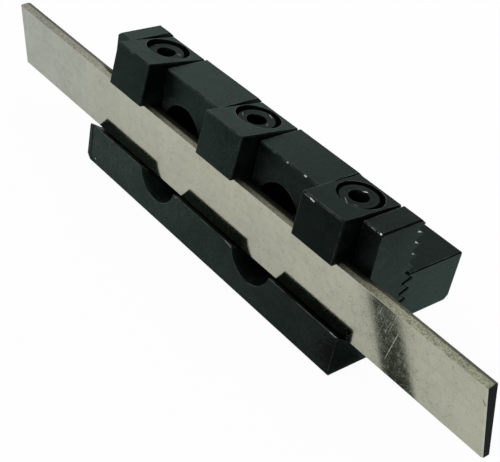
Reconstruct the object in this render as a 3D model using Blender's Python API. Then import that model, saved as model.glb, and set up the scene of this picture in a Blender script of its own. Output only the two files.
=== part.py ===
"""Parting blade holder: a serrated steel block that grips a parting blade on its front
face with three strap clamps, bolted at an adjustable height to a lathe tool shank.

World frame in metres: X runs along the blade, Y to the rear, Z up.
X = 0 is the middle of the block, Y = 0 the front face of the blade at its lower edge,
Z = 0 the underside of the block, on which the tool rests.
"""
import math

import bmesh
import bpy
from mathutils import Vector

MM = 0.001

# Blade block: front lip with the sloping blade seat, wall behind the blade
BLOCK_HALF_LENGTH = 35.06 * MM
BLOCK_HEIGHT = 26.7 * MM
LIP_FRONT_Y = -1.84 * MM
LIP_HEIGHT = 8.05 * MM
SEAT_SLOPE = math.radians(33.0)
SEAT_FLOOR_Z = 6.3 * MM
WALL_Y = 2.03 * MM
EDGE_BREAK = 0.25 * MM
LEFT_END_CHAMFER = 1.15 * MM
WALL_LEFT_CHAMFER = 0.5 * MM
TOP_REAR_CHAMFER = ((10.95 * MM, 26.7 * MM), (11.96 * MM, 25.77 * MM))

# Serrations shared by the block and the shank
TOOTH_PITCH = 2.155 * MM
TOOTH_TIP_Y = 12.15 * MM
TOOTH_VALLEY_Y = 10.45 * MM
TOP_TOOTH_Z = 25.9 * MM
TOOTH_DROP = 0.78 * MM
TOOTH_LAND = 0.12 * MM
TOOTH_COUNT = 13
MESH_BACK_OFF = 0.66 * MM
MESH_DROP = 0.32 * MM

# Height-adjusting slots for the shank screws, stepped for their heads
SLOT_X = (-13.2 * MM, 13.3 * MM)
SLOT_LOW_Z = 8.9 * MM
SLOT_HIGH_Z = 17.0 * MM
HEAD_SLOT_WIDTH = 10.0 * MM
HEAD_SLOT_FLOOR_Y = 7.5 * MM
THROUGH_SLOT_WIDTH = 5.8 * MM

# Shank
SHANK_BOTTOM_Z = 5.65 * MM
SHANK_TOP_Z = 15.75 * MM
SHANK_REAR_Y = 25.0 * MM
SHANK_LOWER_CHAMFER = 0.9 * MM
SHANK_FACE_FRONT_Y = 12.25 * MM
SHANK_HOLE_END_Y = 21.2 * MM

# Parting blade: sheared ends, a section that thins downward on both faces, a low ridge on top
BLADE_LEFT_X = -61.65 * MM
BLADE_LENGTH = 125.73 * MM
BLADE_END_SHEAR = 2.9 * MM
BLADE_BOTTOM_Z = 7.2 * MM
BLADE_BOTTOM_REAR_Y = 1.55 * MM
BLADE_TOP_FRONT = (-0.5 * MM, 18.65 * MM)
BLADE_RIDGE = (1.0 * MM, 18.86 * MM)
BLADE_TOP_REAR = (1.75 * MM, 18.74 * MM)

# Strap clamps: heel on the floor of the clamp slot, nose on the blade, so tipped nose up
CLAMPS = (
    {"name": "left", "x": -24.555 * MM, "tilt": math.radians(6.4), "rear_z": 26.6 * MM,
     "screw_x": -24.95 * MM, "head_top": 26.5 * MM, "counterbore": 5.35 * MM,
     "left_gap": 1.35 * MM},
    {"name": "middle", "x": 1.255 * MM, "tilt": math.radians(6.5), "rear_z": 26.65 * MM,
     "screw_x": 0.8 * MM, "head_top": 26.7 * MM, "counterbore": 5.2 * MM,
     "left_gap": 1.2 * MM},
    {"name": "right", "x": 25.835 * MM, "tilt": math.radians(3.1), "rear_z": 26.74 * MM,
     "screw_x": 25.9 * MM, "head_top": 26.85 * MM, "counterbore": 4.8 * MM,
     "left_gap": 0.3 * MM},
)
CLAMP_LENGTH = 12.76 * MM
CLAMP_WIDTH = 9.58 * MM
CLAMP_THICKNESS = 8.27 * MM
CLAMP_REAR_Y = 10.86 * MM
CLAMP_EDGE_BREAK = 0.2 * MM
CLAMP_SLOT_FLOOR_Z = 18.05 * MM
CLAMP_SLOT_RIGHT_GAP = 0.3 * MM
COUNTERBORE_Y = 6.23 * MM
COUNTERBORE_DIAMETER = 8.0 * MM
CLAMP_HOLE_DIAMETER = 5.6 * MM

# Socket cap screws: M4 in the clamps, M5 into the shank
CLAMP_SCREW_Y = 5.88 * MM
CLAMP_TAPPED_HOLE_END_Z = 8.0 * MM
SHANK_SCREW_Z = 10.7 * MM
SHANK_HEAD_UNDERSIDE_Y = 7.2 * MM
M4 = {"thread": 4.0 * MM, "head": 7.0 * MM, "head_height": 4.0 * MM, "key": 3.0 * MM,
      "socket": 2.0 * MM, "length": 12.0 * MM}
M5 = {"thread": 5.0 * MM, "head": 8.5 * MM, "head_height": 5.0 * MM, "key": 4.0 * MM,
      "socket": 2.5 * MM, "length": 12.0 * MM}
TAPPED_HOLE_ALLOWANCE = 0.6 * MM

ROUND_SEGMENTS = 48
CUT_MARGIN = 2.0 * MM


def steel(name, colour, roughness, metallic):
    """The surface of one sub-part."""
    material = bpy.data.materials.new(name)
    material.use_nodes = True
    shader = material.node_tree.nodes["Principled BSDF"]
    shader.inputs["Base Color"].default_value = (*colour, 1.0)
    shader.inputs["Roughness"].default_value = roughness
    shader.inputs["Metallic"].default_value = metallic
    material.diffuse_color = (*colour, 1.0)
    return material


def add_object(name, solid, material=None, location=(0.0, 0.0, 0.0), tilt=0.0):
    """Name a solid and place it, tilted about X at its location."""
    bmesh.ops.recalc_face_normals(solid, faces=solid.faces)
    mesh = bpy.data.meshes.new(name)
    solid.to_mesh(mesh)
    solid.free()
    if material:
        mesh.materials.append(material)
    item = bpy.data.objects.new(name, mesh)
    item.location = location
    item.rotation_euler.x = tilt
    bpy.context.scene.collection.objects.link(item)
    return item


def prism(front, rear):
    """Close two matching outlines of points into one solid."""
    solid = bmesh.new()
    first = [solid.verts.new(point) for point in front]
    second = [solid.verts.new(point) for point in rear]
    solid.faces.new(first)
    solid.faces.new(second)
    for index, vert in enumerate(first):
        after = (index + 1) % len(first)
        solid.faces.new((vert, first[after], second[after], second[index]))
    return solid


def bar_along_x(outline, x_left, x_right):
    """A bar with the (y, z) outline as its section."""
    return prism([(x_left, y, z) for y, z in outline], [(x_right, y, z) for y, z in outline])


def box(x_range, y_range, z_range):
    """A box between the given limits."""
    (x0, x1), (y0, y1), (z0, z1) = x_range, y_range, z_range
    outline = [(y0, z0), (y1, z0), (y1, z1), (y0, z1)]
    return bar_along_x(outline, x0, x1)


def cylinder(radius, z_low, z_high, segments=ROUND_SEGMENTS):
    """A cylinder on the local Z axis."""
    turns = [2 * math.pi * step / segments for step in range(segments)]
    ring = [(radius * math.cos(turn), radius * math.sin(turn)) for turn in turns]
    return prism([(x, y, z_low) for x, y in ring], [(x, y, z_high) for x, y in ring])


def upright_slot(x, width, y_front, y_rear):
    """A round-ended slot, long in Z, running from front to rear."""
    radius = width / 2
    half = ROUND_SEGMENTS // 2
    outline = []
    for centre_z, start in ((SLOT_HIGH_Z, 0.0), (SLOT_LOW_Z, math.pi)):
        for step in range(half + 1):
            turn = start + math.pi * step / half
            outline.append((x + radius * math.cos(turn), centre_z + radius * math.sin(turn)))
    return prism([(px, y_front, pz) for px, pz in outline],
                 [(px, y_rear, pz) for px, pz in outline])


def cut(target, name, solid, location=(0.0, 0.0, 0.0), tilt=0.0):
    """Take a solid away from the target."""
    cutter = add_object(name, solid, None, location, tilt)
    cutter.hide_render = True
    cutter.display_type = "WIRE"
    modifier = target.modifiers.new(name, "BOOLEAN")
    modifier.operation = "DIFFERENCE"
    modifier.solver = "EXACT"
    modifier.object = cutter


def serration(z_high, z_low, shift_y=0.0, shift_z=0.0):
    """The toothed line from z_high down to z_low: short lower flanks, longer upper ones."""
    half_land = TOOTH_LAND / 2
    line = []
    for tooth in range(-1, TOOTH_COUNT):
        tip_z = TOP_TOOTH_Z - tooth * TOOTH_PITCH
        valley_z = tip_z - TOOTH_DROP
        line += [(TOOTH_TIP_Y, tip_z + half_land), (TOOTH_TIP_Y, tip_z - half_land),
                 (TOOTH_VALLEY_Y, valley_z + half_land), (TOOTH_VALLEY_Y, valley_z - half_land)]
    line = [(y + shift_y, z + shift_z) for y, z in line]
    kept = []
    for (y0, z0), (y1, z1) in zip(line, line[1:]):
        if z0 <= z_low or z1 >= z_high:
            continue
        for z in (min(z0, z_high), max(z1, z_low)):
            share = (z0 - z) / (z0 - z1)
            point = (y0 + (y1 - y0) * share, z)
            if not kept or math.dist(point, kept[-1]) > 0.001 * MM:
                kept.append(point)
    return kept


def build_block(material):
    """The block: lip, blade seat, wall, serrated rear, clamp slots and adjusting slots."""
    seat_end_y = LIP_FRONT_Y + (LIP_HEIGHT - SEAT_FLOOR_Z) / math.tan(SEAT_SLOPE)
    outline = [(LIP_FRONT_Y + EDGE_BREAK, 0.0), (LIP_FRONT_Y, EDGE_BREAK),
               (LIP_FRONT_Y, LIP_HEIGHT), (seat_end_y, SEAT_FLOOR_Z), (WALL_Y, SEAT_FLOOR_Z),
               (WALL_Y, BLOCK_HEIGHT - EDGE_BREAK), (WALL_Y + EDGE_BREAK, BLOCK_HEIGHT)]
    teeth = serration(BLOCK_HEIGHT, 0.0)
    outline += TOP_REAR_CHAMFER
    outline += [point for point in teeth if point[1] < TOP_REAR_CHAMFER[1][1]]
    block = add_object("blade_block",
                       bar_along_x(outline, -BLOCK_HALF_LENGTH, BLOCK_HALF_LENGTH), material)

    # Broken top and bottom edges of the left end
    depth = (LIP_FRONT_Y - CUT_MARGIN, TOOTH_TIP_Y + CUT_MARGIN)
    for name, z, turn in (("top", BLOCK_HEIGHT, 1.0), ("bottom", 0.0, -1.0)):
        corners = [(-BLOCK_HALF_LENGTH - CUT_MARGIN, z - turn * (LEFT_END_CHAMFER + CUT_MARGIN)),
                   (-BLOCK_HALF_LENGTH + LEFT_END_CHAMFER + CUT_MARGIN, z + turn * CUT_MARGIN),
                   (-BLOCK_HALF_LENGTH - CUT_MARGIN, z + turn * CUT_MARGIN)]
        cut(block, "left_end_chamfer_" + name,
            prism([(px, depth[0], pz) for px, pz in corners],
                  [(px, depth[1], pz) for px, pz in corners]))

    corner_x = -BLOCK_HALF_LENGTH
    across = WALL_LEFT_CHAMFER + CUT_MARGIN
    plan = [(corner_x - CUT_MARGIN, WALL_Y + across), (corner_x - CUT_MARGIN, WALL_Y - CUT_MARGIN),
            (corner_x + across, WALL_Y - CUT_MARGIN)]
    cut(block, "wall_left_chamfer",
        prism([(px, py, LIP_HEIGHT) for px, py in plan],
              [(px, py, BLOCK_HEIGHT + CUT_MARGIN) for px, py in plan]))

    for clamp in CLAMPS:
        half = CLAMP_WIDTH / 2
        cut(block, "clamp_slot_" + clamp["name"],
            box((clamp["x"] - half - clamp["left_gap"], clamp["x"] + half + CLAMP_SLOT_RIGHT_GAP),
                (WALL_Y - CUT_MARGIN, TOOTH_TIP_Y + CUT_MARGIN),
                (CLAMP_SLOT_FLOOR_Z, BLOCK_HEIGHT + CUT_MARGIN)))
        cut(block, "tapped_hole_" + clamp["name"],
            cylinder((M4["thread"] + TAPPED_HOLE_ALLOWANCE) / 2, CLAMP_TAPPED_HOLE_END_Z,
                     CLAMP_SLOT_FLOOR_Z + CUT_MARGIN),
            (clamp["screw_x"], CLAMP_SCREW_Y, 0.0))

    for side, x in zip(("left", "right"), SLOT_X):
        cut(block, "head_slot_" + side,
            upright_slot(x, HEAD_SLOT_WIDTH, LIP_FRONT_Y - CUT_MARGIN, HEAD_SLOT_FLOOR_Y))
        cut(block, "through_slot_" + side,
            upright_slot(x, THROUGH_SLOT_WIDTH, HEAD_SLOT_FLOOR_Y - CUT_MARGIN,
                         TOOTH_TIP_Y + CUT_MARGIN))


def build_shank(material):
    """The tool shank: teeth that mesh with the block and two blind tapped holes."""
    outline = serration(SHANK_TOP_Z, SHANK_BOTTOM_Z, MESH_BACK_OFF, -MESH_DROP)

    # The knife edges where the teeth run out are broken: sloping above, upright below
    flank_y, flank_z = outline[1]
    steepness = (flank_y - outline[0][0]) / (SHANK_TOP_Z - flank_z)
    relief = (SHANK_FACE_FRONT_Y - outline[0][0]) / (1.0 + steepness)
    outline[0:1] = [(SHANK_FACE_FRONT_Y, SHANK_TOP_Z),
                    (SHANK_FACE_FRONT_Y - relief, SHANK_TOP_Z - relief)]
    (upper_y, upper_z), (lower_y, lower_z) = outline[-2:]
    share = (SHANK_FACE_FRONT_Y - lower_y) / (upper_y - lower_y)
    outline[-1:] = [(SHANK_FACE_FRONT_Y, lower_z + share * (upper_z - lower_z)),
                    (SHANK_FACE_FRONT_Y, SHANK_BOTTOM_Z)]

    outline += [(SHANK_REAR_Y - SHANK_LOWER_CHAMFER, SHANK_BOTTOM_Z),
                (SHANK_REAR_Y, SHANK_BOTTOM_Z + SHANK_LOWER_CHAMFER),
                (SHANK_REAR_Y, SHANK_TOP_Z - EDGE_BREAK),
                (SHANK_REAR_Y - EDGE_BREAK, SHANK_TOP_Z)]
    shank = add_object("shank", bar_along_x(outline, -BLOCK_HALF_LENGTH, BLOCK_HALF_LENGTH),
                       material)
    start_y = TOOTH_VALLEY_Y - CUT_MARGIN
    for side, x in zip(("left", "right"), SLOT_X):
        cut(shank, "shank_hole_" + side,
            cylinder((M5["thread"] + TAPPED_HOLE_ALLOWANCE) / 2, 0.0, SHANK_HOLE_END_Y - start_y),
            (x, start_y, SHANK_SCREW_Z), math.radians(-90.0))


def build_blade(material):
    """The blade: its rear face on the wall, its front lower edge on the sloping seat."""
    section = [(0.0, BLADE_BOTTOM_Z), (BLADE_BOTTOM_REAR_Y, BLADE_BOTTOM_Z),
               BLADE_TOP_REAR, BLADE_RIDGE, BLADE_TOP_FRONT]
    blade = bar_along_x(section, BLADE_LEFT_X, BLADE_LEFT_X + BLADE_LENGTH)
    height = BLADE_TOP_FRONT[1] - BLADE_BOTTOM_Z
    for vert in blade.verts:
        vert.co.x -= BLADE_END_SHEAR * (vert.co.z - BLADE_BOTTOM_Z) / height
    add_object("parting_blade", blade, material)


def build_clamp(clamp, material):
    """One strap clamp: a short rectangular bar with a stepped hole for its screw."""
    name = "clamp_" + clamp["name"]
    tilt = -clamp["tilt"]
    half = CLAMP_WIDTH / 2
    body = box((-half, half), (-CLAMP_LENGTH, 0.0), (-CLAMP_THICKNESS, 0.0))
    bmesh.ops.bevel(body, geom=list(body.edges), offset=CLAMP_EDGE_BREAK, segments=1,
                    affect="EDGES")
    rear_top = Vector((clamp["x"], CLAMP_REAR_Y, clamp["rear_z"]))
    item = add_object(name, body, material, rear_top, tilt)
    along = (CLAMP_REAR_Y - COUNTERBORE_Y) / math.cos(tilt)
    bore = rear_top + Vector((clamp["screw_x"] - clamp["x"], -along * math.cos(tilt),
                              -along * math.sin(tilt)))
    cut(item, name + "_counterbore",
        cylinder(COUNTERBORE_DIAMETER / 2, -clamp["counterbore"], CUT_MARGIN), bore, tilt)
    cut(item, name + "_hole",
        cylinder(CLAMP_HOLE_DIAMETER / 2, -CLAMP_THICKNESS - CUT_MARGIN, CUT_MARGIN / 2),
        bore, tilt)


def turned(profile):
    """Turn a (radius, z) profile, listed from axis to axis, about local Z."""
    solid = bmesh.new()
    turns = [2 * math.pi * step / ROUND_SEGMENTS for step in range(ROUND_SEGMENTS)]
    rings = []
    for radius, z in profile:
        points = turns if radius > 0.0 else turns[:1]
        rings.append([solid.verts.new((radius * math.cos(turn), radius * math.sin(turn), z))
                      for turn in points])
    for low, high in zip(rings, rings[1:]):
        for step in range(ROUND_SEGMENTS):
            after = (step + 1) % ROUND_SEGMENTS
            corners = [low[step % len(low)], low[after % len(low)],
                       high[after % len(high)], high[step % len(high)]]
            solid.faces.new(list(dict.fromkeys(corners)))
    return solid


def cap_screw(name, size, material, location, tilt=0.0):
    """A socket cap screw: head above local Z = 0, thread below it, hexagon socket on top."""
    head = size["head"] / 2
    thread = size["thread"] / 2
    top = size["head_height"]
    rim = 0.1 * head
    point = 0.15 * size["thread"]
    profile = [(0.0, -size["length"]), (thread - point, -size["length"]),
               (thread, -size["length"] + point), (thread, 0.0), (head, 0.0),
               (head, top - rim), (head - rim, top), (0.0, top)]
    screw = add_object(name, turned(profile), material, location, tilt)
    screw.data.shade_smooth()
    screw.data.set_sharp_from_angle(angle=math.radians(30.0))
    cut(screw, name + "_socket",
        cylinder(size["key"] / math.sqrt(3.0), top - size["socket"], top + CUT_MARGIN, 6),
        location, tilt)


def build():
    """Make every piece of the holder."""
    for item in list(bpy.data.objects):
        bpy.data.objects.remove(item, do_unlink=True)
    block_black = steel("blackened_block_steel", (0.035, 0.042, 0.040), 0.5, 0.6)
    clamp_black = steel("blackened_clamp_steel", (0.032, 0.040, 0.038), 0.45, 0.6)
    shank_black = steel("blackened_shank_steel", (0.040, 0.045, 0.044), 0.5, 0.6)
    screw_black = steel("black_oxide_screw_steel", (0.020, 0.024, 0.023), 0.35, 0.8)
    blade_steel = steel("ground_blade_steel", (0.58, 0.57, 0.52), 0.35, 1.0)

    build_block(block_black)
    build_shank(shank_black)
    build_blade(blade_steel)
    for clamp in CLAMPS:
        build_clamp(clamp, clamp_black)
        cap_screw("clamp_screw_" + clamp["name"], M4, screw_black,
                  (clamp["screw_x"], CLAMP_SCREW_Y, clamp["head_top"] - M4["head_height"]))
    for side, x in zip(("left", "right"), SLOT_X):
        cap_screw("shank_screw_" + side, M5, screw_black,
                  (x, SHANK_HEAD_UNDERSIDE_Y, SHANK_SCREW_Z), math.radians(90.0))


build()
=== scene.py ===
"""A parting blade holder in blackened steel with its blade, standing on a pale floor."""

import math

import bmesh
import bpy
from mathutils import Matrix, Vector


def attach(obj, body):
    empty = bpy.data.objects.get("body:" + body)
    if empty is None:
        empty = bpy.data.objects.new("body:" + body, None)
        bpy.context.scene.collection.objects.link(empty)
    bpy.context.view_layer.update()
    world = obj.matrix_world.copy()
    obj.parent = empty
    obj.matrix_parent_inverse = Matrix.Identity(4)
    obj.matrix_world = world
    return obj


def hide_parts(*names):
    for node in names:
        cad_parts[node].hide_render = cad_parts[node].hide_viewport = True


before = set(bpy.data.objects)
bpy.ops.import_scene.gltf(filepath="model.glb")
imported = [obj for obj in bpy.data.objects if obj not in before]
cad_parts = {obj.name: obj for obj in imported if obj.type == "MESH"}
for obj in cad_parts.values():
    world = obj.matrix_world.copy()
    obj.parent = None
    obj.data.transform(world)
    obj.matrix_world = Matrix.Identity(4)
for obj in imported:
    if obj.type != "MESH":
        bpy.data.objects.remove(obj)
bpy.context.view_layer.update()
scene = bpy.context.scene
MM = 0.001


# The camera stands to the right front of the tool and looks down on it through a long lens,
# rolled a little, so that the blade runs across the picture from corner to corner.
CAMERA_PLACE = Vector((116.99, -111.44, 119.19)) * MM
PICTURE_RIGHT = Vector((0.62642, 0.76138, 0.16701)).normalized()
PICTURE_UP = Vector((-0.53416, 0.26326, 0.80334)).normalized()
CAMERA_LENS = 81.16
SENSOR_WIDTH = 36.0
NEAREST_SEEN = 0.01
FARTHEST_SEEN = 20.0

camera = bpy.data.objects.new("camera", bpy.data.cameras.new("camera"))
camera.data.lens = CAMERA_LENS
camera.data.sensor_width = SENSOR_WIDTH
camera.data.clip_start = NEAREST_SEEN
camera.data.clip_end = FARTHEST_SEEN
camera.matrix_world = Matrix((PICTURE_RIGHT, PICTURE_UP,
                              PICTURE_RIGHT.cross(PICTURE_UP))).transposed().to_4x4()
camera.location = CAMERA_PLACE
scene.collection.objects.link(camera)
scene.camera = camera
scene.view_settings.view_transform = "Standard"


# The floor is matt white paper, lit by one large soft lamp above the tool, toward its left
# rear, and by the pale walls of the room. Seen straight or in a reflection the paper and the
# walls are white, and the tool's shadow still shows on the paper, more so in reflections.
FLOOR_DROP = 0.02 * MM
FLOOR_REACH = 3.0
WHITE = (1.0, 1.0, 1.0, 1.0)
BLACK = (0.0, 0.0, 0.0, 1.0)
PAPER = (0.82, 0.82, 0.81, 1.0)
PAPER_GLOW_SEEN = 0.96
PAPER_GLOW_MIRRORED = 0.5
ROOM_GREY = (0.64, 0.65, 0.66, 1.0)
SOFTBOX_PLACE = Vector((-0.25, 0.12, 0.60))
SOFTBOX_SIZE = 0.55
SOFTBOX_POWER = 1.6


def place(tree, kind, feeds=None, **fields):
    """Put a node in a tree, set its fields, and feed its inputs with numbers or sockets."""
    node = tree.nodes.new("ShaderNode" + kind)
    for field, value in fields.items():
        setattr(node, field, value)
    for key, value in (feeds or {}).items():
        if isinstance(value, bpy.types.NodeSocket):
            tree.links.new(value, node.inputs[key])
        else:
            node.inputs[key].default_value = value
    return node


def math_of(tree, operation, first, second=0.0, clamp=False):
    """One calculation with two values."""
    node = place(tree, "Math", {0: first, 1: second}, operation=operation, use_clamp=clamp)
    return node.outputs[0]


def blend(tree, share, first, second, clamped=True):
    """A share of the way from one colour to another, and past it where it isn't clamped."""
    node = place(tree, "Mix", {0: share, 6: first, 7: second}, data_type="RGBA",
                 clamp_factor=clamped)
    return node.outputs[2]


def glow_share(tree, seen, mirrored):
    """How much a surface glows white: seen straight or through glass, or in a reflection."""
    path = place(tree, "LightPath")
    straight = math_of(tree, "MAXIMUM", path.outputs["Is Camera Ray"],
                       path.outputs["Is Transmission Ray"])
    return math_of(tree, "MAXIMUM", math_of(tree, "MULTIPLY", straight, seen),
                   math_of(tree, "MULTIPLY", path.outputs["Is Glossy Ray"], mirrored))


def add_mesh(name, solid, materials):
    """Turn a finished bmesh into a named object."""
    mesh = bpy.data.meshes.new(name)
    solid.to_mesh(mesh)
    solid.free()
    for material in materials:
        mesh.materials.append(material)
    item = bpy.data.objects.new(name, mesh)
    scene.collection.objects.link(item)
    return item


paper = bpy.data.materials.new("white_paper")
paper.use_nodes = True
tree = paper.node_tree
tree.nodes.clear()
matt = place(tree, "BsdfDiffuse", {"Color": PAPER})
glow = place(tree, "Emission", {"Color": WHITE, "Strength": 1.0})
mixed = place(tree, "MixShader", {0: glow_share(tree, PAPER_GLOW_SEEN, PAPER_GLOW_MIRRORED),
                                  1: matt.outputs[0], 2: glow.outputs[0]})
place(tree, "OutputMaterial", {"Surface": mixed.outputs[0]})

sheet = bmesh.new()
bmesh.ops.create_grid(sheet, x_segments=4, y_segments=4, size=FLOOR_REACH)
for vert in sheet.verts:
    vert.co.z = -FLOOR_DROP
floor = add_mesh("paper_floor", sheet, [paper])

room = bpy.data.worlds.new("room")
room.use_nodes = True
tree = room.node_tree
tree.nodes.clear()
walls = blend(tree, glow_share(tree, 1.0, 1.0), ROOM_GREY, WHITE)
background = place(tree, "Background", {"Color": walls, "Strength": 1.0})
place(tree, "OutputWorld", {"Surface": background.outputs[0]})
scene.world = room

softbox = bpy.data.lights.new("softbox", "AREA")
softbox.shape = "SQUARE"
softbox.size = SOFTBOX_SIZE
softbox.energy = SOFTBOX_POWER
lamp = bpy.data.objects.new("softbox", softbox)
lamp.location = SOFTBOX_PLACE
lamp.rotation_euler = (-SOFTBOX_PLACE).to_track_quat("-Z", "Y").to_euler()
scene.collection.objects.link(lamp)


# Three dark cards that only reflections see, painted shade put into the reflections. A strip on
# the paper in front of the blade gives its ground face the soft dark band near the right end, a
# patch beside the lip, a painted shadow under the blade's end, keeps the lip's right end dark, and
# a panel at the right rear darkens the upper edges of the block's ends.
CARD_LIFT = 0.05 * MM
DARK_STRIP = ((19.2, -21.1), (26.5, -21.3), (50.6, -3.0), (43.0, -3.0))
DARK_PATCH = ((35.3, -2.5), (41.8, 4.0), (41.8, 12.5), (35.3, 6.0))
DARK_PANEL_PLACE = Vector((0.37, 0.385, 0.37))
DARK_PANEL_SIZE = 0.38
STRIP_GREY = (0.050, 0.068, 0.061)
PATCH_GREY = (0.36, 0.44, 0.40)
PANEL_GREY = (0.01, 0.01, 0.01)


def new_material(name):
    """A material and its shader."""
    material = bpy.data.materials.new(name)
    material.use_nodes = True
    return material, material.node_tree.nodes["Principled BSDF"]


def matt_card(name, colour):
    """A matt material of one colour."""
    material, shader = new_material(name)
    shader.inputs["Base Color"].default_value = (*colour, 1.0)
    shader.inputs["Roughness"].default_value = 0.9
    shader.inputs["Specular IOR Level"].default_value = 0.1
    return material


def flat_card(name, corners, colour):
    """A card lying on the paper, its corners in millimetres."""
    card = bmesh.new()
    card.faces.new([card.verts.new((x * MM, y * MM, CARD_LIFT)) for x, y in corners])
    return add_mesh(name, card, [matt_card(name + "_grey", colour)])


strip = flat_card("dark_strip", DARK_STRIP, STRIP_GREY)
patch = flat_card("dark_patch", DARK_PATCH, PATCH_GREY)
screen = bmesh.new()
bmesh.ops.create_grid(screen, x_segments=2, y_segments=2, size=DARK_PANEL_SIZE)
panel = add_mesh("dark_panel", screen, [matt_card("panel_card", PANEL_GREY)])
panel.location = DARK_PANEL_PLACE
panel.rotation_euler = (-DARK_PANEL_PLACE).to_track_quat("Z", "Y").to_euler()
for shade in (strip, patch, panel):
    shade.visible_camera = False
    shade.visible_diffuse = False
    shade.visible_shadow = False


# The block: one bar of tool steel, milled all over, with a lip and a sloping seat for the
# blade, three slots for the clamps and two round-ended slots from front to rear. It is
# blackened in a hot oxide bath, and the finish is rubbed thin along its edges.
WELD = 0.0005 * MM
FLAT_WITHIN = 0.6
BLOCK_EDGE = 0.17 * MM
RIGHT_END_EDGE = 0.27 * MM
RIGHT_END_X = 35.0 * MM
TOP_EDGE_Z = 26.0 * MM
LIP_CORNER = 0.55 * MM
LIP_LEFT_X = -30.0 * MM
LIP_REAR_Y = 1.8 * MM
LIP_LOW_Z = 5.0 * MM
LIP_SHORTEST = 0.5 * MM
TOOTH_LINE_Y = 9.8 * MM
MESHED_Y = (10.3 * MM, 12.6 * MM)
MESHED_Z = (5.7 * MM, 15.4 * MM)
BLOCK_DARK = (0.0125, 0.0213, 0.0187)
BLOCK_LIGHT = (0.0234, 0.0335, 0.0300)
# Painted shade for the gaps between the meshed teeth
GAP_SHADE_DARK = (0.0008, 0.0011, 0.0010)
GAP_SHADE_LIGHT = (0.0016, 0.0022, 0.0020)
BARE_STEEL = (0.62, 0.66, 0.64, 1.0)
OXIDE_TINT = (0.70, 0.78, 0.75, 1.0)
OXIDE_METALLIC = 0.9
OXIDE_SPECULAR = 0.35
DULL_SPECULAR = 0.02
BLOOM_SCALE = 230.0
SPECKLE_SCALE = 2400.0
LENGTHWAYS_CUT = (60.0, 900.0, 900.0)
FADE_X = (-30.0 * MM, 36.0 * MM)
LOW_Z = (9.0 * MM, 12.0 * MM)
RUBBED_WIDTH = 0.30 * MM
RUBBED_BARE = 0.14

# Marks seen on the real block: from one point to another in millimetres, half width, depth
BLOCK_NICKS = (
    ((9.82, 2.1, 26.65), (10.0, 2.1, 26.65), 0.13, 0.25),
    ((13.05, 2.05, 26.6), (13.3, 2.05, 26.6), 0.15, 0.45),
    ((17.35, 2.05, 26.6), (17.7, 2.05, 26.6), 0.16, 0.6),
    ((32.0, 2.08, 26.6), (34.6, 2.08, 26.6), 0.10, 0.22),
    ((34.5, 2.1, 26.6), (34.85, 2.1, 26.6), 0.15, 1.0),
    ((35.0, 10.72, 24.62), (35.0, 11.32, 24.36), 0.17, 0.9),
    ((35.0, 10.75, 22.50), (35.0, 11.35, 22.20), 0.17, 0.8),
    ((35.0, 10.85, 20.25), (35.0, 11.35, 19.90), 0.15, 0.45),
    ((35.0, 3.7, 19.9), (35.0, 4.9, 23.1), 0.10, 0.05),
    ((35.0, 3.1, 19.4), (35.0, 4.1, 21.8), 0.08, 0.04),
    ((33.4, -1.8, 7.95), (34.8, -1.8, 7.97), 0.10, 0.5),
    ((-32.36, -1.84, 1.3), (-32.30, -1.84, 1.3), 0.12, 0.7),
    ((6.7, -1.8, 7.9), (8.3, -1.8, 7.6), 0.09, 0.35),
    ((-7.6, -1.8, 7.9), (-7.4, -1.8, 7.9), 0.12, 0.4),
)
# Painted shade: black bars along the tooth gaps on the end faces, where the meshed teeth shade
# each other
TOOTH_GAP_SHADE = (
    ((35.06, 12.79, 14.59), (35.06, 10.58, 13.96), 0.36, 1.0),
    ((35.06, 12.69, 12.39), (35.06, 10.71, 11.74), 0.36, 1.0),
    ((35.06, 12.65, 10.15), (35.06, 11.7, 10.02), 0.36, 1.0),
)
BLOCK_SHADE_AND_DARK_LINES = TOOTH_GAP_SHADE + (
    # Painted shade on the lip's right end, standing in for its dark reflection of the shaded paper
    # under the blade
    ((35.06, -1.0, 4.0), (35.06, 3.0, 1.5), 4.0, 0.97),
    ((35.06, -1.6, 6.5), (35.06, -0.5, 6.5), 1.6, 0.97),
    # Painted shade on the block's top just right of the right clamp
    ((30.5, 6.0, 26.8), (33.0, 6.0, 26.8), 6.0, 0.35),
    # Dark lines down the left end and along the top edge of the lip's front
    ((-34.0, -1.84, 7.9), (-34.0, -1.84, 1.6), 0.34, 0.8),
    ((-34.0, -1.84, 8.05), (35.0, -1.84, 8.05), 0.30, 0.55),
    ((-34.0, -1.84, 1.6), (-33.0, -1.84, 0.4), 0.34, 0.8),
)


def shared_effect(name, inputs, outputs):
    """An empty node group with its sockets, given as (label, kind, value)."""
    group = bpy.data.node_groups.new(name, "ShaderNodeTree")
    for label, kind, value in inputs:
        socket = group.interface.new_socket(label, in_out="INPUT", socket_type="NodeSocket" + kind)
        socket.default_value = value
    for label, kind in outputs:
        group.interface.new_socket(label, in_out="OUTPUT", socket_type="NodeSocket" + kind)
    return group, group.nodes.new("NodeGroupInput").outputs, \
        group.nodes.new("NodeGroupOutput").inputs


def use_effect(tree, group, feeds):
    """Place a shared effect in a material and feed it."""
    return place(tree, "Group", feeds, node_tree=group).outputs


def between(tree, value, low, high, start=0.0, end=1.0):
    """Carry a value from low..high to start..end, softly, and no further."""
    node = place(tree, "MapRange", {"Value": value, "From Min": low, "From Max": high,
                                    "To Min": start, "To Max": end},
                 interpolation_type="SMOOTHSTEP")
    return node.outputs[0]


def noise_of(tree, where, scale, detail=3.0, rough=0.55, distortion=0.0):
    """Cloudy noise from 0 to 1."""
    node = place(tree, "TexNoise", {"Vector": where, "Scale": scale, "Detail": detail,
                                    "Roughness": rough, "Distortion": distortion})
    return node.outputs[0]


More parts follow.
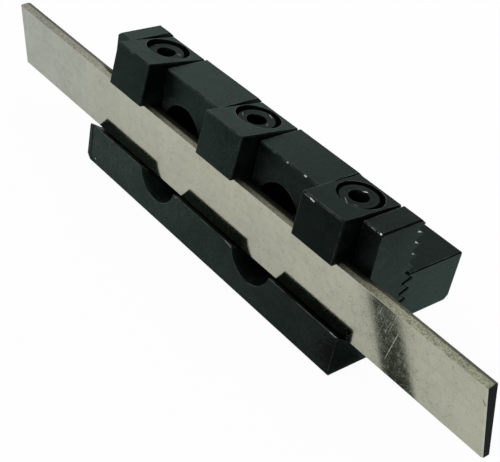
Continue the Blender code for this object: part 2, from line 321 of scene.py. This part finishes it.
# Bath bloom: cloudy patches a few millimetres wide with a fine speckle over them
bloom, given, made = shared_effect(
    "oxide_bloom",
    [("Where", "Vector", (0, 0, 0))],
    [("Bloom", "Float"), ("Speckle", "Float")])
patches = noise_of(bloom, given["Where"], BLOOM_SCALE, 5.0, 0.62, 0.4)
speckle = noise_of(bloom, given["Where"], SPECKLE_SCALE, 4.0, 0.7)
bloom.links.new(between(bloom, patches, 0.36, 0.68), made["Bloom"])
bloom.links.new(between(bloom, speckle, 0.30, 0.72), made["Speckle"])

# Rubbed edges: where the surface turns within a small width, broken up by noise
rubbed, given, made = shared_effect(
    "rubbed_edges",
    [("Where", "Vector", (0, 0, 0)), ("Hold", "Float", 0.38)],
    [("Rubbed", "Float")])
round_edge = place(rubbed, "Bevel", {"Radius": RUBBED_WIDTH}, samples=6)
flat = place(rubbed, "NewGeometry")
turn = place(rubbed, "VectorMath", {0: round_edge.outputs[0], 1: flat.outputs["Normal"]},
             operation="DOT_PRODUCT")
turned_away = between(rubbed, math_of(rubbed, "SUBTRACT", 1.0, turn.outputs["Value"]),
                      0.004, 0.07)
coarse = noise_of(rubbed, given["Where"], 420.0, 4.0, 0.7)
patchy = between(rubbed, math_of(rubbed, "SUBTRACT", coarse, given["Hold"]), 0.0, 0.22)
rubbed.links.new(math_of(rubbed, "MULTIPLY", turned_away, patchy), made["Rubbed"])

# A mark: a ragged line or spot from one point to another, added to those before it
mark, given, made = shared_effect(
    "single_mark",
    [("Where", "Vector", (0, 0, 0)), ("From", "Vector", (0, 0, 0)), ("To", "Vector", (0, 0, 0)),
     ("Width", "Float", 0.0001), ("Depth", "Float", 1.0), ("Before", "Float", 0.0)],
    [("Marked", "Float")])
run = place(mark, "VectorMath", {0: given["To"], 1: given["From"]}, operation="SUBTRACT")
off = place(mark, "VectorMath", {0: given["Where"], 1: given["From"]}, operation="SUBTRACT")
ahead = place(mark, "VectorMath", {0: off.outputs[0], 1: run.outputs[0]}, operation="DOT_PRODUCT")
whole = place(mark, "VectorMath", {0: run.outputs[0], 1: run.outputs[0]}, operation="DOT_PRODUCT")
part_way = math_of(mark, "DIVIDE", ahead.outputs["Value"], whole.outputs["Value"], clamp=True)
foot = place(mark, "VectorMath", {0: run.outputs[0], "Scale": part_way}, operation="SCALE")
aside = place(mark, "VectorMath", {0: off.outputs[0], 1: foot.outputs[0]}, operation="DISTANCE")
ragged = noise_of(mark, given["Where"], 2600.0, 2.0, 0.5)
reach = math_of(mark, "MULTIPLY", given["Width"], between(mark, ragged, 0.3, 0.7, 0.45, 1.35))
inside = math_of(mark, "DIVIDE", aside.outputs["Value"], reach)
within = math_of(mark, "MULTIPLY", between(mark, inside, 1.15, 0.6), given["Depth"])
mark.links.new(math_of(mark, "MAXIMUM", given["Before"], within), made["Marked"])


def marks_of(tree, where, marks):
    """The marks of a list, laid one over another."""
    marked = 0.0
    for begin, end, width, depth in marks:
        marked = use_effect(tree, mark, {"Where": where, "From": Vector(begin) * MM,
                                         "To": Vector(end) * MM, "Width": width * MM,
                                         "Depth": depth, "Before": marked})["Marked"]
    return marked


def blackened_steel(name, dark, light, rough, cutter_marks, nicks=(), hold=0.38, fade=1.0,
                    ends=1.0, low=1.0, dark_marks=()):
    """Black oxide on machined steel, with rubbed edges, bare nicks and dark marks; its tone is
    painted lighter or darker by place and by the way a face turns, as light and shade, and some
    marks are painted shade.
    """
    material, shader = new_material(name)
    tree = material.node_tree
    where = place(tree, "TexCoord").outputs["Object"]
    cloud = use_effect(tree, bloom, {"Where": where})

    # Feed marks of the milling cutter, stretched along one direction
    stretched = place(tree, "Mapping", {"Vector": where, "Scale": cutter_marks})
    marks = noise_of(tree, stretched.outputs[0], 1.0, 3.0, 0.6)

    # Painted light and shade: the tone fades toward the right and differs low down and on the
    # faces toward the ends, to follow how light falls on them; it is also speckled
    along = place(tree, "SeparateXYZ", {0: where})
    facing = place(tree, "SeparateXYZ", {0: place(tree, "NewGeometry").outputs["Normal"]})
    endwise = between(tree, math_of(tree, "ABSOLUTE", facing.outputs[0]), 0.8, 0.95)
    milled = math_of(tree, "MULTIPLY", between(tree, along.outputs[0], *FADE_X, 1.0, fade),
                     between(tree, along.outputs[2], *LOW_Z, low, 1.0))
    depth = math_of(tree, "ADD", math_of(tree, "MULTIPLY", endwise, ends),
                    math_of(tree, "MULTIPLY", math_of(tree, "SUBTRACT", 1.0, endwise), milled))
    depth = math_of(tree, "MULTIPLY", depth,
                    between(tree, cloud["Speckle"], 0.0, 1.0, 0.72, 1.28))
    unmarked = math_of(tree, "SUBTRACT", 1.0, marks_of(tree, where, dark_marks))
    tone = blend(tree, cloud["Bloom"], (*dark, 1.0), (*light, 1.0))
    oxide = blend(tree, math_of(tree, "MULTIPLY", depth, unmarked), BLACK, tone, clamped=False)

    # Edges are rubbed thin and nicks go down to the steel; where edges face right the rubbing is
    # painted weaker, keeping them dark as in shade
    worn = use_effect(tree, rubbed, {"Where": where, "Hold": hold})
    away = between(tree, facing.outputs[0], 0.2, 0.5, RUBBED_BARE, 0.1 * RUBBED_BARE)
    thin = blend(tree, math_of(tree, "MULTIPLY", worn["Rubbed"], away), oxide, BARE_STEEL)
    tree.links.new(blend(tree, marks_of(tree, where, nicks), thin, BARE_STEEL),
                   shader.inputs["Base Color"])

    shader.inputs["Metallic"].default_value = OXIDE_METALLIC
    shader.inputs["Specular Tint"].default_value = OXIDE_TINT
    shader.inputs["Specular IOR Level"].default_value = OXIDE_SPECULAR
    gloss = math_of(tree, "ADD",
                    between(tree, cloud["Bloom"], 0.0, 1.0, rough - 0.05, rough + 0.07),
                    math_of(tree, "MULTIPLY", marks, 0.08))
    tree.links.new(gloss, shader.inputs["Roughness"])

    height = math_of(tree, "ADD", cloud["Speckle"], math_of(tree, "MULTIPLY", marks, 0.8))
    bump = place(tree, "Bump", {"Height": height, "Strength": 0.35, "Distance": 0.02 * MM})
    tree.links.new(bump.outputs[0], shader.inputs["Normal"])
    return material


def take_shine_off(material):
    """Leave a material almost no reflection, for faces painted dark as shade."""
    shader = material.node_tree.nodes["Principled BSDF"]
    shader.inputs["Metallic"].default_value = 0.0
    shader.inputs["Specular IOR Level"].default_value = DULL_SPECULAR


def solid_of(node):
    """The faces of a CAD solid, with those of one plane joined again."""
    solid = bmesh.new()
    solid.from_mesh(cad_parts[node].data)
    bmesh.ops.remove_doubles(solid, verts=solid.verts, dist=WELD)
    bmesh.ops.dissolve_limit(solid, angle_limit=math.radians(FLAT_WITHIN), verts=solid.verts,
                             edges=solid.edges)
    return solid


def break_edges(solid, width, chosen=None, segments=1, sharpness=25.0):
    """Break the sharp edges of a solid by a small width, or only the chosen ones."""
    sharp = [edge for edge in solid.edges
             if len(edge.link_faces) == 2 and edge.calc_face_angle(0.0) > math.radians(sharpness)
             and (not chosen or chosen(edge))]
    made = bmesh.ops.bevel(solid, geom=sharp, offset=width, segments=segments, affect="EDGES",
                           profile=0.5, clamp_overlap=True)
    for face in made["faces"]:
        face.smooth = segments > 1


def clear_of_teeth(edge):
    """Whether an edge starts in front of the serrated rear."""
    return min(vert.co.y for vert in edge.verts) < TOOTH_LINE_Y


def lip_corner(edge):
    """Whether an edge is the upper one across the lip's left end."""
    ends = [vert.co for vert in edge.verts]
    return max(p.x for p in ends) < LIP_LEFT_X and max(p.y for p in ends) < LIP_REAR_Y \
        and min(p.z for p in ends) > LIP_LOW_Z and abs(ends[0].y - ends[1].y) > LIP_SHORTEST


def between_teeth(face):
    """Whether a face lies in the narrow gap between the meshed teeth of block and shank."""
    middle = face.calc_center_median()
    return abs(face.normal.x) < 0.5 and MESHED_Y[0] < middle.y < MESHED_Y[1] \
        and MESHED_Z[0] < middle.z < MESHED_Z[1]


def right_end_top(edge):
    """Whether an edge is the upper one of the block's right end."""
    return min(vert.co.x for vert in edge.verts) > RIGHT_END_X \
        and min(vert.co.z for vert in edge.verts) > TOP_EDGE_Z


# Painted light and shade: the block's tone fades toward the right and is lighter low down, and its
# marks paint shade at the lip's right end, beside the right clamp and in the tooth gaps
block_black = blackened_steel("blackened_block", BLOCK_DARK, BLOCK_LIGHT, 0.42, LENGTHWAYS_CUT,
                              BLOCK_NICKS, fade=0.38, ends=0.90, low=1.4, dark_marks=BLOCK_SHADE_AND_DARK_LINES)

# Painted shade: the faces in the gaps between the meshed teeth are painted near black, with almost
# no reflection
painted_gap_shade = blackened_steel("painted_gap_shade", GAP_SHADE_DARK, GAP_SHADE_LIGHT, 0.6, LENGTHWAYS_CUT)
take_shine_off(painted_gap_shade)

block_solid = solid_of("blade_block")
break_edges(block_solid, LIP_CORNER, lip_corner, segments=3)
break_edges(block_solid, RIGHT_END_EDGE, right_end_top)
break_edges(block_solid, BLOCK_EDGE, clear_of_teeth)
for face in block_solid.faces:
    face.material_index = int(between_teeth(face))
block = add_mesh("block", block_solid, [block_black, painted_gap_shade])
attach(block, "holder")
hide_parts("blade_block")


# The shank: a bar of the same black steel behind the block, its front cut with teeth that
# mesh with the block's, tapped for the two screws that draw the teeth together. The visible
# teeth are set a little lower than the solid's, so that the gaps under them close.
SHANK_TOOTH_Y = 13.0 * MM
SHANK_EDGE = 0.22 * MM
SHANK_DARK = (0.0027, 0.0052, 0.0046)
SHANK_LIGHT = (0.0058, 0.0092, 0.0082)
TOOTH_SHIFT = 0.12 * MM
SHIFTED_Y = 12.2 * MM
SHIFTED_Z = (6.2 * MM, 15.0 * MM)


def behind_teeth(edge):
    """Whether an edge of the shank reaches behind its teeth."""
    return max(vert.co.y for vert in edge.verts) > SHANK_TOOTH_Y


# Painted light and shade: the shank's end faces are painted 5.2 times lighter than its other
# faces, and black bars of painted shade mark the tooth gaps on its end
shank_black = blackened_steel("blackened_shank", SHANK_DARK, SHANK_LIGHT, 0.42, LENGTHWAYS_CUT,
                              ends=5.2, dark_marks=TOOTH_GAP_SHADE)
shank_solid = solid_of("shank")
break_edges(shank_solid, SHANK_EDGE, behind_teeth)
for vert in shank_solid.verts:
    if vert.co.y < SHIFTED_Y and SHIFTED_Z[0] < vert.co.z < SHIFTED_Z[1]:
        vert.co.z -= TOOTH_SHIFT
for face in shank_solid.faces:
    face.material_index = int(between_teeth(face))
shank = add_mesh("tool_shank", shank_solid, [shank_black, painted_gap_shade])
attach(shank, "holder")
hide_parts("shank")


# The blade: high speed steel, ground on both faces and on top, with sheared ends painted black as
# shade. It stands on the seat, leans on the wall, and slides along the block when the clamps are
# free.
BLADE_EDGE = 0.08 * MM
BLADE_END_EDGE = 0.27 * MM
BLADE_LEFT_EDGE = 0.17 * MM
BLADE_END_X = 55.0 * MM
BLADE_FACE_Y = 0.1 * MM
UPRIGHT_SHORTEST = 5.0 * MM
# Painted shade: each pair of blade colours is darker at the left end than at the right, standing
# in for a darker reflection there
FACE_LEFT = (0.375, 0.390, 0.335)
FACE_RIGHT = (0.455, 0.460, 0.365)
TOP_LEFT = (0.20, 0.20, 0.165)
TOP_RIGHT = (0.255, 0.26, 0.19)
SHEARED_END_SHADE = (0.012, 0.016, 0.013)
STRIP_LEFT = (0.46, 0.46, 0.42)
STRIP_RIGHT = (0.50, 0.50, 0.44)
SCRATCH_BRIGHT = (0.8, 0.8, 0.72, 1.0)
STAIN_BROWN = (0.10, 0.065, 0.05, 1.0)
LEFT_SHADE_X = (-62.0 * MM, -5.0 * MM)
CURLS_X = (24.0 * MM, 40.0 * MM)
WALL_END_X = (34.0 * MM, 38.0 * MM)
SHADED_Y = (0.35 * MM, 0.65 * MM)
SHADE_STEP = 0.45 * MM
BLADE_SCRATCHES = (
    ((44.46, -0.36, 15.53), (43.35, -0.11, 9.72), 0.075, 0.4),
    ((41.41, -0.35, 15.27), (40.84, -0.24, 12.79), 0.06, 0.2),
    ((43.49, -0.5, 18.73), (42.74, -0.33, 14.7), 0.06, 0.2),
    ((45.81, -0.32, 14.54), (45.51, -0.21, 12.06), 0.06, 0.2),
    ((40.59, -0.47, 18.07), (40.04, -0.39, 16.06), 0.06, 0.2),
    ((47.33, -0.31, 14.36), (46.99, -0.12, 9.99), 0.05, 0.18),
    ((42.82, -0.42, 16.77), (42.17, -0.33, 14.66), 0.05, 0.18),
)
BLADE_STAINS = (
    ((61.2, -0.38, 16.3), (61.75, -0.38, 15.7), 0.14, 0.8),
)


def mottle_and_wall_shade(tree, where, spread, tone, rear):
    """Mottle a tone, and paint shade on its rear strip, darker and wider where the wall stands
    behind, as the wall's shadow.
    """
    reach = math_of(tree, "ABSOLUTE", spread[0])
    lit = math_of(tree, "SUBTRACT", spread[1],
                  between(tree, reach, *WALL_END_X, 0.0, SHADE_STEP))
    shaded = between(tree, reach, *WALL_END_X, 0.25 * rear, rear)
    tone = math_of(tree, "MULTIPLY", tone, between(tree, lit, *SHADED_Y, 1.0, shaded))
    spots = noise_of(tree, where, 2600.0, 2.0, 0.6)
    return math_of(tree, "MULTIPLY", tone, between(tree, spots, 0.35, 0.65, 0.74, 1.2))


def ground_steel(name, left, right, rough, along, across, scratches=(), dark_marks=(), rear=1.0):
    """Ground high speed steel: fine wheel lines, worm-like grain, scratches and stains; its colour
    is painted darker toward the left, standing in for a darker reflection, and with rear below 1
    its top's rear strip carries painted shade.
    """
    material, shader = new_material(name)
    tree = material.node_tree
    where = place(tree, "TexCoord").outputs["Object"]
    stretched = place(tree, "Mapping", {"Vector": where, "Scale": (along, across, across)})
    lines = noise_of(tree, stretched.outputs[0], 1.0, 5.0, 0.7)
    cloud = noise_of(tree, where, 140.0, 4.0, 0.6)

    # The grain's curls are where a twisted noise passes through its middle
    twisted = noise_of(tree, where, 1400.0, 1.0, 0.5, 2.2)
    curl = between(tree, math_of(tree, "ABSOLUTE", math_of(tree, "SUBTRACT", twisted, 0.5)),
                   0.0, 0.045, 1.0, 0.0)
    grain = math_of(tree, "MULTIPLY", curl, between(tree, noise_of(tree, where, 700.0), 0.4, 0.6))
    tone = math_of(tree, "ADD", between(tree, cloud, 0.3, 0.7, 0.95, 1.05),
                   between(tree, lines, 0.25, 0.75, -0.04, 0.04))
    tone = math_of(tree, "SUBTRACT", tone, math_of(tree, "MULTIPLY", grain, 0.30))
    spread = place(tree, "SeparateXYZ", {0: where}).outputs
    if rear < 1.0:
        tone = mottle_and_wall_shade(tree, where, spread, tone, rear)
    # Painted shade: the colour runs from the darker left one to the right one along the blade
    shade_along = blend(tree, between(tree, spread[0], *LEFT_SHADE_X), (*left, 1.0), (*right, 1.0))
    tinted = blend(tree, tone, BLACK, shade_along, clamped=False)

    # The curls and the scratches are rougher than the ground face
    gloss = between(tree, lines, 0.2, 0.8, rough - 0.04, rough + 0.05)
    curls = between(tree, spread[0], *CURLS_X, 0.03, 0.32)
    gloss = math_of(tree, "ADD", gloss, math_of(tree, "MULTIPLY", grain, curls))
    cut_in = marks_of(tree, where, scratches)
    gloss = math_of(tree, "ADD", gloss, math_of(tree, "MULTIPLY", cut_in, 0.6))
    tinted = blend(tree, cut_in, tinted, SCRATCH_BRIGHT)
    tinted = blend(tree, marks_of(tree, where, dark_marks), tinted, STAIN_BROWN)
    tree.links.new(tinted, shader.inputs["Base Color"])
    tree.links.new(gloss, shader.inputs["Roughness"])
    shader.inputs["Metallic"].default_value = 1.0
    height = math_of(tree, "ADD", noise_of(tree, where, 1500.0, 2.0, 0.6, 0.8),
                     math_of(tree, "MULTIPLY", lines, 0.3))
    bump = place(tree, "Bump", {"Height": height, "Strength": 0.5, "Distance": 0.010 * MM})
    tree.links.new(bump.outputs[0], shader.inputs["Normal"])
    return material


def upright_end_edge(edge, side):
    """Whether an edge is the upright one between the blade's face and one end."""
    ends = [vert.co for vert in edge.verts]
    return min(side * p.x for p in ends) > BLADE_END_X and max(p.y for p in ends) < BLADE_FACE_Y \
        and abs(ends[0].z - ends[1].z) > UPRIGHT_SHORTEST


face_steel = ground_steel("ground_blade_face", FACE_LEFT, FACE_RIGHT, 0.12, 300.0, 1800.0,
                          BLADE_SCRATCHES, BLADE_STAINS)
# Painted shade: the top's rear strip is darkened to 0.42 of its tone, and further beside the wall,
# as the wall's shadow
top_steel = ground_steel("ground_blade_top", TOP_LEFT, TOP_RIGHT, 0.62, 200.0, 2600.0, rear=0.42)
# Painted shade: the sheared ends are painted near black with almost no reflection, standing in for
# the dark reflection the right end shows
end_steel = ground_steel("sheared_blade_end", SHEARED_END_SHADE, SHEARED_END_SHADE, 0.45, 1500.0, 500.0)
take_shine_off(end_steel)
strip_steel = ground_steel("broken_blade_edge", STRIP_LEFT, STRIP_RIGHT, 0.30, 300.0, 1800.0,
                           dark_marks=BLADE_STAINS)
blade_steels = {"face": face_steel, "top": top_steel, "end": end_steel, "strip": strip_steel}
blade_solid = solid_of("parting_blade")
break_edges(blade_solid, BLADE_END_EDGE, lambda edge: upright_end_edge(edge, 1))
break_edges(blade_solid, BLADE_LEFT_EDGE, lambda edge: upright_end_edge(edge, -1))
break_edges(blade_solid, BLADE_EDGE, sharpness=40.0, segments=2)
for face in blade_solid.faces:
    if face.normal.z > 0.4:
        kind = "top"
    elif face.normal.x > 0.8 or face.normal.x < -0.4:
        kind = "end"
    elif face.normal.x > 0.4:
        kind = "strip"
    else:
        kind = "face"
    face.material_index = list(blade_steels).index(kind)
blade = add_mesh("blade", blade_solid, blade_steels.values())
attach(blade, "blade")
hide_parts("parting_blade")


# The clamps: three short bars of black steel, each counterbored for its screw's head. The heel
# stands in a slot of the block and the nose presses the blade against the wall and the seat.
SIDES = ("left", "middle", "right")
CLAMP_EDGE = 0.06 * MM
CROSSWAYS_CUT = (900.0, 120.0, 900.0)
# Painted shade: the right clamp's oxide is painted far darker than the other two, as the shade on
# the tool's right
CLAMP_DARK = {"left": (0.0066, 0.0120, 0.0102), "middle": (0.0078, 0.0142, 0.0120),
              "right": (0.0024, 0.0051, 0.0043)}
CLAMP_LIGHT = {"left": (0.0124, 0.0190, 0.0164), "middle": (0.0146, 0.0226, 0.0195),
               "right": (0.0056, 0.0092, 0.0079)}
CLAMP_NICKS = {
    "left": (),
    "middle": (),
    "right": (
        ((21.06, -0.5, 27.0), (21.08, -0.3, 27.0), 0.15, 0.35),
        ((23.1, -1.9, 27.02), (23.9, -1.9, 26.96), 0.17, 0.9),
        ((21.6, -1.88, 27.03), (23.1, -1.9, 27.01), 0.10, 0.22),
    ),
}
for side in SIDES:
    clamp_solid = solid_of("clamp_" + side)
    break_edges(clamp_solid, CLAMP_EDGE, segments=2)
    clamp_black = blackened_steel(side + "_clamp_black", CLAMP_DARK[side], CLAMP_LIGHT[side],
                                  0.40, CROSSWAYS_CUT, CLAMP_NICKS[side])
    clamp = add_mesh(side + "_strap_clamp", clamp_solid, [clamp_black])
    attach(clamp, side + "_clamp")
    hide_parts("clamp_" + side)


# The screws: black alloy socket cap screws, cold headed, with a knurled rim, a hexagon
# socket and a rolled thread. Upright M4 ones hold the clamps, and level M5 ones draw the
# shank to the block. All lengths here are in millimetres.
KNURLS = 60
KNURL_DEPTH = 0.13
SMOOTH_UP_TO = 38.0
SOCKET_MOUTH_WIDER = 0.03
SOCKET_MOUTH_SLOPE = 1.8
SOCKET_CONE = 0.30
THREAD_SIDES = 48
THREAD_STEPS = 6
THREAD_DEPTH = 0.27
CREST_SHARPNESS = 1.25
POINT_LENGTH = 0.9
POINT_TAPER = 0.26
SCREW_DARK = (0.0009, 0.0019, 0.0017)
SCREW_LIGHT = (0.0050, 0.0070, 0.0066)
UNCUT = (300.0, 300.0, 300.0)
SCREW_KINDS = {
    "M4": {"thread": 4.0, "head": 7.0, "height": 4.0, "key": 3.0, "socket": 2.0, "length": 12.0,
           "pitch": 0.7, "level": False},
    "M5": {"thread": 5.0, "head": 8.5, "height": 5.0, "key": 4.0, "socket": 2.5, "length": 12.0,
           "pitch": 0.8, "level": True},
}
SCREWS = (("clamp", "left", "M4"), ("clamp", "middle", "M4"), ("clamp", "right", "M4"),
          ("shank", "left", "M5"), ("shank", "right", "M5"))
KEY_MARKS = (
    ((-23.48, 7.42, 26.5), (-22.93, 7.69, 26.5), 0.09, 0.3),
    ((-28.64, 5.9, 26.5), (-27.96, 5.95, 26.5), 0.09, 0.18),
    ((-22.91, 4.1, 26.5), (-22.07, 5.04, 26.5), 0.1, 0.14),
    ((-1.96, 5.04, 26.7), (-1.32, 4.65, 26.7), 0.1, 0.16),
    ((0.57, 8.96, 26.7), (1.51, 8.67, 26.7), 0.1, 0.3),
    ((3.12, 6.13, 26.7), (2.83, 6.7, 26.7), 0.09, 0.16),
    ((1.54, 3.4, 26.7), (2.19, 3.62, 26.7), 0.08, 0.22),
    ((24.91, 7.14, 26.85), (25.71, 7.92, 26.85), 0.1, 0.75),
    ((25.15, 3.53, 26.85), (26.61, 2.68, 26.85), 0.08, 0.22),
    ((27.2, 3.48, 26.85), (27.8, 3.76, 26.85), 0.08, 0.12),
)
HEAD_BLOTCHES = (
    ((-2.5, -0.9), (-2.0, 0.7), 0.42, 0.7), ((2.0, 1.2), (2.5, -0.1), 0.38, 0.6),
    ((-0.8, -2.4), (0.9, -2.2), 0.36, 0.6), ((0.1, 2.5), (1.2, 2.1), 0.34, 0.7),
)


def head_seat(node, size):
    """The point of a screw's axis under its head, from the box of its CAD solid."""
    points = [vert.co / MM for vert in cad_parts[node].data.vertices]
    low = Vector([min(p[axis] for p in points) for axis in range(3)])
    high = Vector([max(p[axis] for p in points) for axis in range(3)])
    seat = (low + high) / 2
    if size["level"]:
        seat.y = low.y + size["height"]
    else:
        seat.z = high.z - size["height"]
    return seat


def bridge(solid, low, high):
    """Faces between two rings of points, or between a ring and one point."""
    for step in range(max(len(low), len(high))):
        after = step + 1
        corners = [low[step % len(low)], low[after % len(low)],
                   high[after % len(high)], high[step % len(high)]]
        solid.faces.new(list(dict.fromkeys(corners)))


def socket_screw(size):
    """A socket cap screw: its head above z = 0 and its thread below."""
    turns = [math.pi * step / KNURLS for step in range(2 * KNURLS)]
    head = size["head"] / 2
    top = size["height"]
    key = size["key"] / 2
    stem = size["thread"] / 2
    solid = bmesh.new()

    def ring(radius, z):
        """Points round the axis: the radius may change with the turn, and the height with it."""
        points = []
        for step, turn in enumerate(turns):
            reach = radius(step, turn) if callable(radius) else radius
            height = z(reach) if callable(z) else z
            points.append(solid.verts.new((reach * math.cos(turn), reach * math.sin(turn),
                                           height)))
        return points

    def hexagon(step, turn):
        """The socket's six flats."""
        return key / math.cos((turn + math.pi / 6) % (math.pi / 3) - math.pi / 6)

    def knurled(step, turn):
        """Ridges along the rim, every second point cut back."""
        return head - KNURL_DEPTH * (step % 2)

    mouth = key / math.cos(math.pi / 6) + SOCKET_MOUTH_WIDER
    rings = [
        ring(stem + 0.2, 0.0),
        ring(head - 0.45, 0.0),
        ring(head - 0.12, 0.10),
        ring(head - 0.12, 0.35),
        ring(knurled, 0.50),
        ring(knurled, top - 0.45),
        ring(head - KNURL_DEPTH, top - 0.30),
        ring(head - 0.19, top - 0.09),
        ring(head - 0.30, top),
        ring(mouth, top),
        ring(hexagon, lambda reach: top - SOCKET_MOUTH_SLOPE * (mouth - reach)),
        ring(hexagon, top - size["socket"]),
        [solid.verts.new((0.0, 0.0, top - size["socket"] - SOCKET_CONE * key))],
    ]
    for low, high in zip(rings, rings[1:]):
        bridge(solid, low, high)

    # Rolled thread: the radius swings once for each turn of the helix, less toward the point
    pitch = size["pitch"]
    levels = int(size["length"] / pitch * THREAD_STEPS)
    around = [2 * math.pi * step / THREAD_SIDES for step in range(THREAD_SIDES)]
    thread = []
    for level in range(levels + 1):
        z = -size["length"] * level / levels
        near_point = max(0.0, 1.0 - (size["length"] + z) / POINT_LENGTH)
        row = []
        for turn in around:
            phase = (z / pitch - turn / (2 * math.pi)) % 1.0
            crest = min(1.0, CREST_SHARPNESS * abs(2.0 * phase - 1.0))
            reach = min(stem - 2 * THREAD_DEPTH * pitch * (1.0 - crest),
                        stem - POINT_TAPER * stem * near_point)
            row.append(solid.verts.new((reach * math.cos(turn), reach * math.sin(turn), z)))
        thread.append(row)
    for low, high in zip(thread, thread[1:]):
        bridge(solid, low, high)
    bridge(solid, thread[-1], [solid.verts.new((0.0, 0.0, -size["length"]))])
    bmesh.ops.recalc_face_normals(solid, faces=solid.faces)
    return solid


# The same dark blotches lie on each clamp screw's head, placed from its centre
head_stains = []
for side in SIDES:
    centre = head_seat("clamp_screw_" + side, SCREW_KINDS["M4"])
    centre.z += SCREW_KINDS["M4"]["height"]
    head_stains += [(centre + Vector((*begin, 0.0)), centre + Vector((*end, 0.0)), width, depth)
                    for begin, end, width, depth in HEAD_BLOTCHES]

screw_black = blackened_steel("black_oxide_screw", SCREW_DARK, SCREW_LIGHT, 0.34, UNCUT,
                              KEY_MARKS, hold=0.50, dark_marks=head_stains)
for part, side, kind in SCREWS:
    node = part + "_screw_" + side
    body = side + "_" + part + "_screw"
    size = SCREW_KINDS[kind]
    seat = head_seat(node, size)
    tip = math.radians(90.0) if size["level"] else 0.0
    turned = Matrix.Rotation(tip, 4, "X")
    solid = socket_screw(size)
    for vert in solid.verts:
        vert.co = (turned @ vert.co + seat) * MM
    screw = add_mesh(node.replace("screw", "socket_screw"), solid, [screw_black])
    screw.data.shade_smooth()
    screw.data.set_sharp_from_angle(angle=math.radians(SMOOTH_UP_TO))
    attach(screw, body)
    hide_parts(node)
